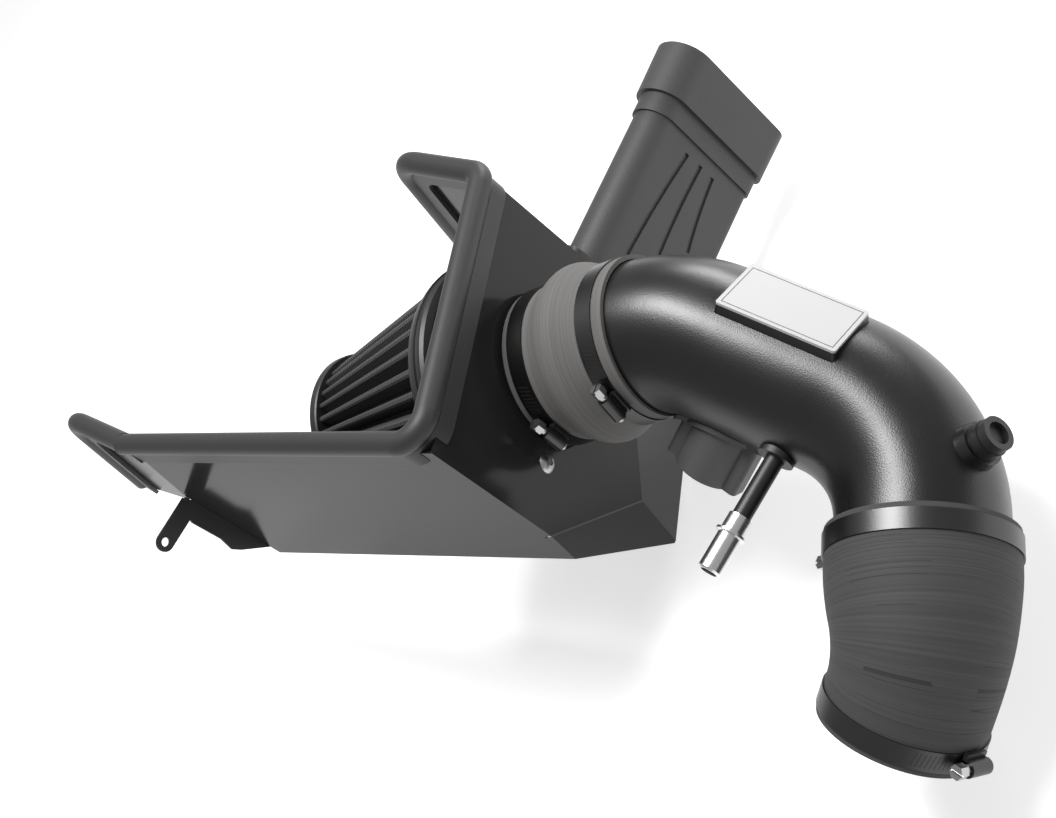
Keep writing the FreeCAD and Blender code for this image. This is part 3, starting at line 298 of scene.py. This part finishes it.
# Tone in the weave's low bands, and where that darkening ends: painted shade between the
# wires
MESH_GAP_PAINTED_SHADE = 0.016
MESH_GAP_PAINTED_SHADE_END = 0.6
CLOTH_SCALE = 900.0
CLOTH_DEPTH = 0.2 * MM


def gauze(name, tone, rough):
    """Pleat cloth under a fine wire mesh, darker in the weave's low bands: painted shade
    between the wires.
    """
    finish = Finish(name, tone, rough)
    where = finish.where()
    weave = finish.node("ShaderNodeTexWave", bands_direction="X")
    weave.inputs["Scale"].default_value = MESH_SCALE
    finish.link(where, weave.inputs["Vector"])
    finish.raise_by(weave.outputs["Fac"], MESH_DEPTH)
    finish.raise_by(finish.noise(where, CLOTH_SCALE), CLOTH_DEPTH)
    # Darker where the weave is low: painted shade
    colour = finish.ramp(weave.outputs["Fac"], grey(MESH_GAP_PAINTED_SHADE), tone, 0.0, MESH_GAP_PAINTED_SHADE_END)
    finish.link(colour, finish.shader.inputs["Base Color"])
    return finish


FINISHES = (
    grained("shield_paint", grey(0.017), rough=0.5, scale=1600.0, depth=0.03 * MM,
            coat=0.42, coat_rough=0.14, spec=0.0),
    grained("trim_rubber", grey(0.026), rough=0.5, scale=900.0, depth=0.06 * MM, spec=0.4),
    grained("bracket_paint", grey(0.01), rough=0.4, scale=1200.0, depth=0.04 * MM),
    grained("filter_rubber", grey(0.015), rough=0.45, scale=900.0, depth=0.05 * MM),
    gauze("filter_media", grey(0.05), rough=0.7),
    grained("cage_wire", grey(0.03), rough=0.35, scale=900.0, depth=0.02 * MM, metal=0.4),
    leather("tube_plastic", grey(0.002), rough=0.33, scale=1500.0, depth=0.05 * MM, spec=0.6),
    wrapped("silicone_light", grey(0.105, warmth=0.03), rough=0.75, along=along_hose,
            contrast=0.12, creases=0.0),
    wrapped("silicone_dark", grey(0.05), rough=0.7, along=along_elbow, contrast=0.14,
            creases=0.7),
    grained("clamp_steel", grey(0.07), rough=0.34, scale=600.0, depth=0.02 * MM, metal=1.0),
    grained("screw_steel", grey(0.42), rough=0.28, scale=900.0, depth=0.02 * MM, metal=1.0),
    grained("plate_aluminium", grey(0.38), rough=0.45, scale=1500.0, depth=0.01 * MM),
    grained("nipple_aluminium", grey(0.72), rough=0.25, scale=1200.0, depth=0.02 * MM,
            metal=1.0),
    grained("fitting_plastic", grey(0.06), rough=0.42, scale=900.0, depth=0.05 * MM),
    grained("grommet_rubber", grey(0.012), rough=0.45, scale=900.0, depth=0.05 * MM),
    leather("duct_plastic", grey(0.046), rough=0.5, scale=700.0, depth=0.08 * MM, spec=0.4),
)
MATERIALS = {finish.name: finish.material for finish in FINISHES}

# Which finish each CAD node carries; clamps are given by the end of their names
NODE_FINISH = {
    "heat_shield": "shield_paint",
    "edge_trim": "trim_rubber",
    "mounting_bracket": "bracket_paint",
    "filter_adapter": "filter_rubber",
    "filter_base": "filter_rubber",
    "filter_media": "filter_media",
    "filter_cage": "cage_wire",
    "filter_cap": "filter_rubber",
    "filter_hose": "silicone_light",
    "intake_tube": "tube_plastic",
    "badge_plate": "plate_aluminium",
    "sensor_mount": "fitting_plastic",
    "vent_grommet": "grommet_rubber",
    "vent_pipe": "bracket_paint",
    "vent_nipple": "nipple_aluminium",
    "plug_insert": "bracket_paint",
    "vacuum_plug": "grommet_rubber",
    "elbow_hose": "silicone_dark",
    "inlet_duct": "duct_plastic",
    "duct_gasket": "grommet_rubber",
    "adapter_screws": "screw_steel",
    "adapter_nuts": "screw_steel",
    "duct_screws": "screw_steel",
    "duct_nuts": "screw_steel",
}
CLAMP_FINISH = {"band": "clamp_steel", "housing": "clamp_steel", "screw": "screw_steel"}

for name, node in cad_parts.items():
    finish_name = NODE_FINISH.get(name) or CLAMP_FINISH[name.rsplit("_", 1)[1]]
    node.data.materials.clear()
    node.data.materials.append(MATERIALS[finish_name])


# Added pieces
def add_boxes(name, plates, finish):
    """A piece of flat four-sided boxes that rides on the part's one body. Each plate is the
    outline of a box's underside, anticlockwise from above, and the way up to its top."""
    verts, faces = [], []
    for outline, lift in plates:
        a, b, c, d, e, f, g, h = range(len(verts), len(verts) + 8)
        verts += outline + [corner + lift for corner in outline]
        faces += [(d, c, b, a), (e, f, g, h), (a, b, f, e), (b, c, g, f), (c, d, h, g),
                  (d, a, e, h)]
    mesh = bpy.data.meshes.new(name)
    mesh.from_pydata([tuple(v) for v in verts], [], faces)
    mesh.update()
    mesh.materials.append(MATERIALS[finish])
    piece = bpy.data.objects.new(name, mesh)
    bpy.context.scene.collection.objects.link(piece)
    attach(piece, "root")
    return piece


# Corners of a rectangle, in order round it
CORNERS = ((-1, -1), (1, -1), (1, 1), (-1, 1))

# Clamps that get slots: the hose's radius, the middle of the band, the hose's axis, whether
# the clamp faces along or against it, and the housing's roll about it in degrees
CLAMPS = {
    "hose_clamp_shield": (FILTER_HOSE_RADIUS, on_axis(SHIELD_BAND_X), TUBE_START, -1, 88.5),
    "hose_clamp_tube": (FILTER_HOSE_RADIUS, on_axis(TUBE_BAND_X), TUBE_START, -1, 78.5),
    "elbow_clamp_tube": (ELBOW_HOSE_RADIUS,
                         ELBOW_START - ELBOW_FROM * (ELBOW_STRAIGHT - ELBOW_BAND_INSET),
                         ELBOW_FROM, -1, 100.0),
    "elbow_clamp_throttle": (THROTTLE_HOSE_RADIUS, ELBOW_TO * -ELBOW_BAND_INSET,
                             ELBOW_TO, 1, -100.0),
}
SLOT_PITCH = 2.4 * MM
SLOT_WIDTH = 0.9 * MM
SLOT_LENGTH = 7.0 * MM
SLOT_SLANT = 0.12  # share of its length that a slot's end is turned round the band
SLOT_SINK = 0.1 * MM
SLOT_RAISE = 0.02 * MM
SLOT_COUNT = 9
SLOT_START = math.radians(17.0)  # from the housing's middle to the first slot


def band_slots(name, radius, middle, hose_axis, way, roll):
    """Slanted slots on the band, on the side of its screw head, as dark boxes: painted shade
    in the openings.
    """
    axis, out = hose_axis * way, radial(hose_axis, roll)
    side = axis.cross(out)
    face = radius + BAND_LIFT
    half_turn = SLOT_WIDTH / face / 2
    lean = SLOT_LENGTH * SLOT_SLANT / face
    plates = []
    for k in range(SLOT_COUNT):
        turn = SLOT_START + k * SLOT_PITCH / face
        outline = []
        for edge, end in CORNERS:
            at = turn + end * lean + edge * half_turn
            outward = out * math.cos(at) + side * math.sin(at)
            outline.append(middle + outward * (face - SLOT_SINK)
                           + axis * (end * SLOT_LENGTH / 2))
        outward = out * math.cos(turn) + side * math.sin(turn)
        plates.append((outline, outward * (SLOT_SINK + SLOT_RAISE)))
    # The slots' dark boxes are painted shade
    return add_boxes(name + "_slots", plates, "bracket_paint")


for name, clamp in CLAMPS.items():
    band_slots(name, *clamp)

# Thin plain border printed on the badge plate
PLATE_AT = Vector((-34.2083, 180.1874, 76.1355)) * MM  # on the tube's centreline
PLATE_OUT = Vector((0.5697, 0.2337, 0.7879))
PLATE_ALONG = Vector((0.788, -0.4277, -0.4429))
PLATE_FACE = 47.25 * MM  # from the centreline to the plate's face
PLATE_LENGTH = 71 * MM
PLATE_WIDTH = 37 * MM
BORDER_INSET = 2.2 * MM
BORDER_WIDTH = 0.5 * MM
BORDER_RAISE = 0.05 * MM


def plate_border():
    face = PLATE_AT + PLATE_OUT * (PLATE_FACE - BORDER_RAISE)
    across = PLATE_OUT.cross(PLATE_ALONG)
    rings = []
    for inset in (BORDER_INSET, BORDER_INSET + BORDER_WIDTH):
        along_half = PLATE_ALONG * (PLATE_LENGTH / 2 - inset)
        across_half = across * (PLATE_WIDTH / 2 - inset)
        rings.append([face + along_half * sx + across_half * sy for sx, sy in CORNERS])
    wide, narrow = rings
    plates = []
    for k in range(len(CORNERS)):
        after = (k + 1) % len(CORNERS)
        outline = [wide[k], wide[after], narrow[after], narrow[k]]
        plates.append((outline, PLATE_OUT * (2 * BORDER_RAISE)))
    return add_boxes("badge_plate_border", plates, "bracket_paint")


plate_border()

# Dark strip along the slit between the chin and the keel facet of the main wall: painted
# shade in the gap
CHIN = HOLE + Vector((0, -101, -24)) * MM
KEEL = HOLE + Vector((0, -40, -96)) * MM
SEAM_LOW, SEAM_HIGH = -0.6 * MM, 0.5 * MM  # its edges, across the slit
SEAM_RAISE = 0.05 * MM
SEAM_THICKNESS = 0.3 * MM


def seam_strip():
    sunk = TUBE_START * (SEAM_RAISE - SEAM_THICKNESS)
    across = TUBE_START.cross((KEEL - CHIN).normalized())
    low_edge, high_edge = sunk + across * SEAM_LOW, sunk + across * SEAM_HIGH
    outline = [CHIN + low_edge, KEEL + low_edge, KEEL + high_edge, CHIN + high_edge]
    return add_boxes("seam_strip", [(outline, TUBE_START * SEAM_THICKNESS)], "bracket_paint")


seam_strip()

# Stage: floor, light and camera
low, high = first_box
centre = (low + high) / 2
size = (high - low).length
FLOOR_DROP = 2 * MM
FLOOR_REACH = 12.0
FLOOR_GLOW = 0.6
FLOOR_GRAIN_SCALE = 40.0
FLOOR_GRAIN_DEPTH = 0.02 * MM
WORLD_STRENGTH = 0.42


def floor_plane(z, reach):
    """Pale floor that glows a little, so that it stays plain under the part."""
    mesh = bpy.data.meshes.new("floor")
    corners = [(reach * sx, reach * sy, z) for sx, sy in CORNERS]
    mesh.from_pydata(corners, [], [(0, 1, 2, 3)])
    pale = Finish("floor", grey(0.6), rough=0.9, spec=0.1)
    pale.set("Emission Color", (1.0, 1.0, 1.0, 1.0))
    pale.set("Emission Strength", FLOOR_GLOW)
    pale.raise_by(pale.noise(pale.where(), FLOOR_GRAIN_SCALE), FLOOR_GRAIN_DEPTH)
    mesh.materials.append(pale.material)
    plane = bpy.data.objects.new("floor", mesh)
    bpy.context.scene.collection.objects.link(plane)
    return plane


floor_plane(low.z - FLOOR_DROP, FLOOR_REACH)


def softbox(name, right, up, back, width, height, power):
    """A softbox aimed at the part, placed in the camera's axes in sizes of the part."""
    light = bpy.data.lights.new(name, "AREA")
    light.shape = "RECTANGLE"
    light.size, light.size_y = width, height
    light.energy = power
    lamp = bpy.data.objects.new(name, light)
    bpy.context.scene.collection.objects.link(lamp)
    lamp.location = centre + (RIGHT * right + UP * up + BACK * back) * size
    lamp.rotation_mode = "QUATERNION"
    lamp.rotation_quaternion = (lamp.location - centre).to_track_quat("Z", "Y")
    return lamp


softbox("overhead", right=-0.84, up=0.95, back=0.88, width=0.9, height=0.42, power=27.0)
softbox("back", right=0.3, up=1.5, back=-0.15, width=0.8, height=0.4, power=11.0)

world = bpy.data.worlds.new("studio")
world.use_nodes = True
background = world.node_tree.nodes["Background"]
background.inputs["Color"].default_value = (1, 1, 1, 1)
background.inputs["Strength"].default_value = WORLD_STRENGTH
bpy.context.scene.world = world
bpy.context.scene.view_settings.view_transform = "Standard"

camera_data = bpy.data.cameras.new("camera")
camera_data.sensor_width = SENSOR
camera_data.lens = FOCAL_PX / PHOTO_WIDTH * SENSOR
camera_data.clip_start = NEAREST
camera_data.clip_end = FARTHEST
camera = bpy.data.objects.new("camera", camera_data)
bpy.context.scene.collection.objects.link(camera)
turn = Matrix((RIGHT, UP, BACK)).transposed().to_4x4()
camera.matrix_world = Matrix.Translation(CAMERA_AT) @ turn
bpy.context.scene.camera = camera
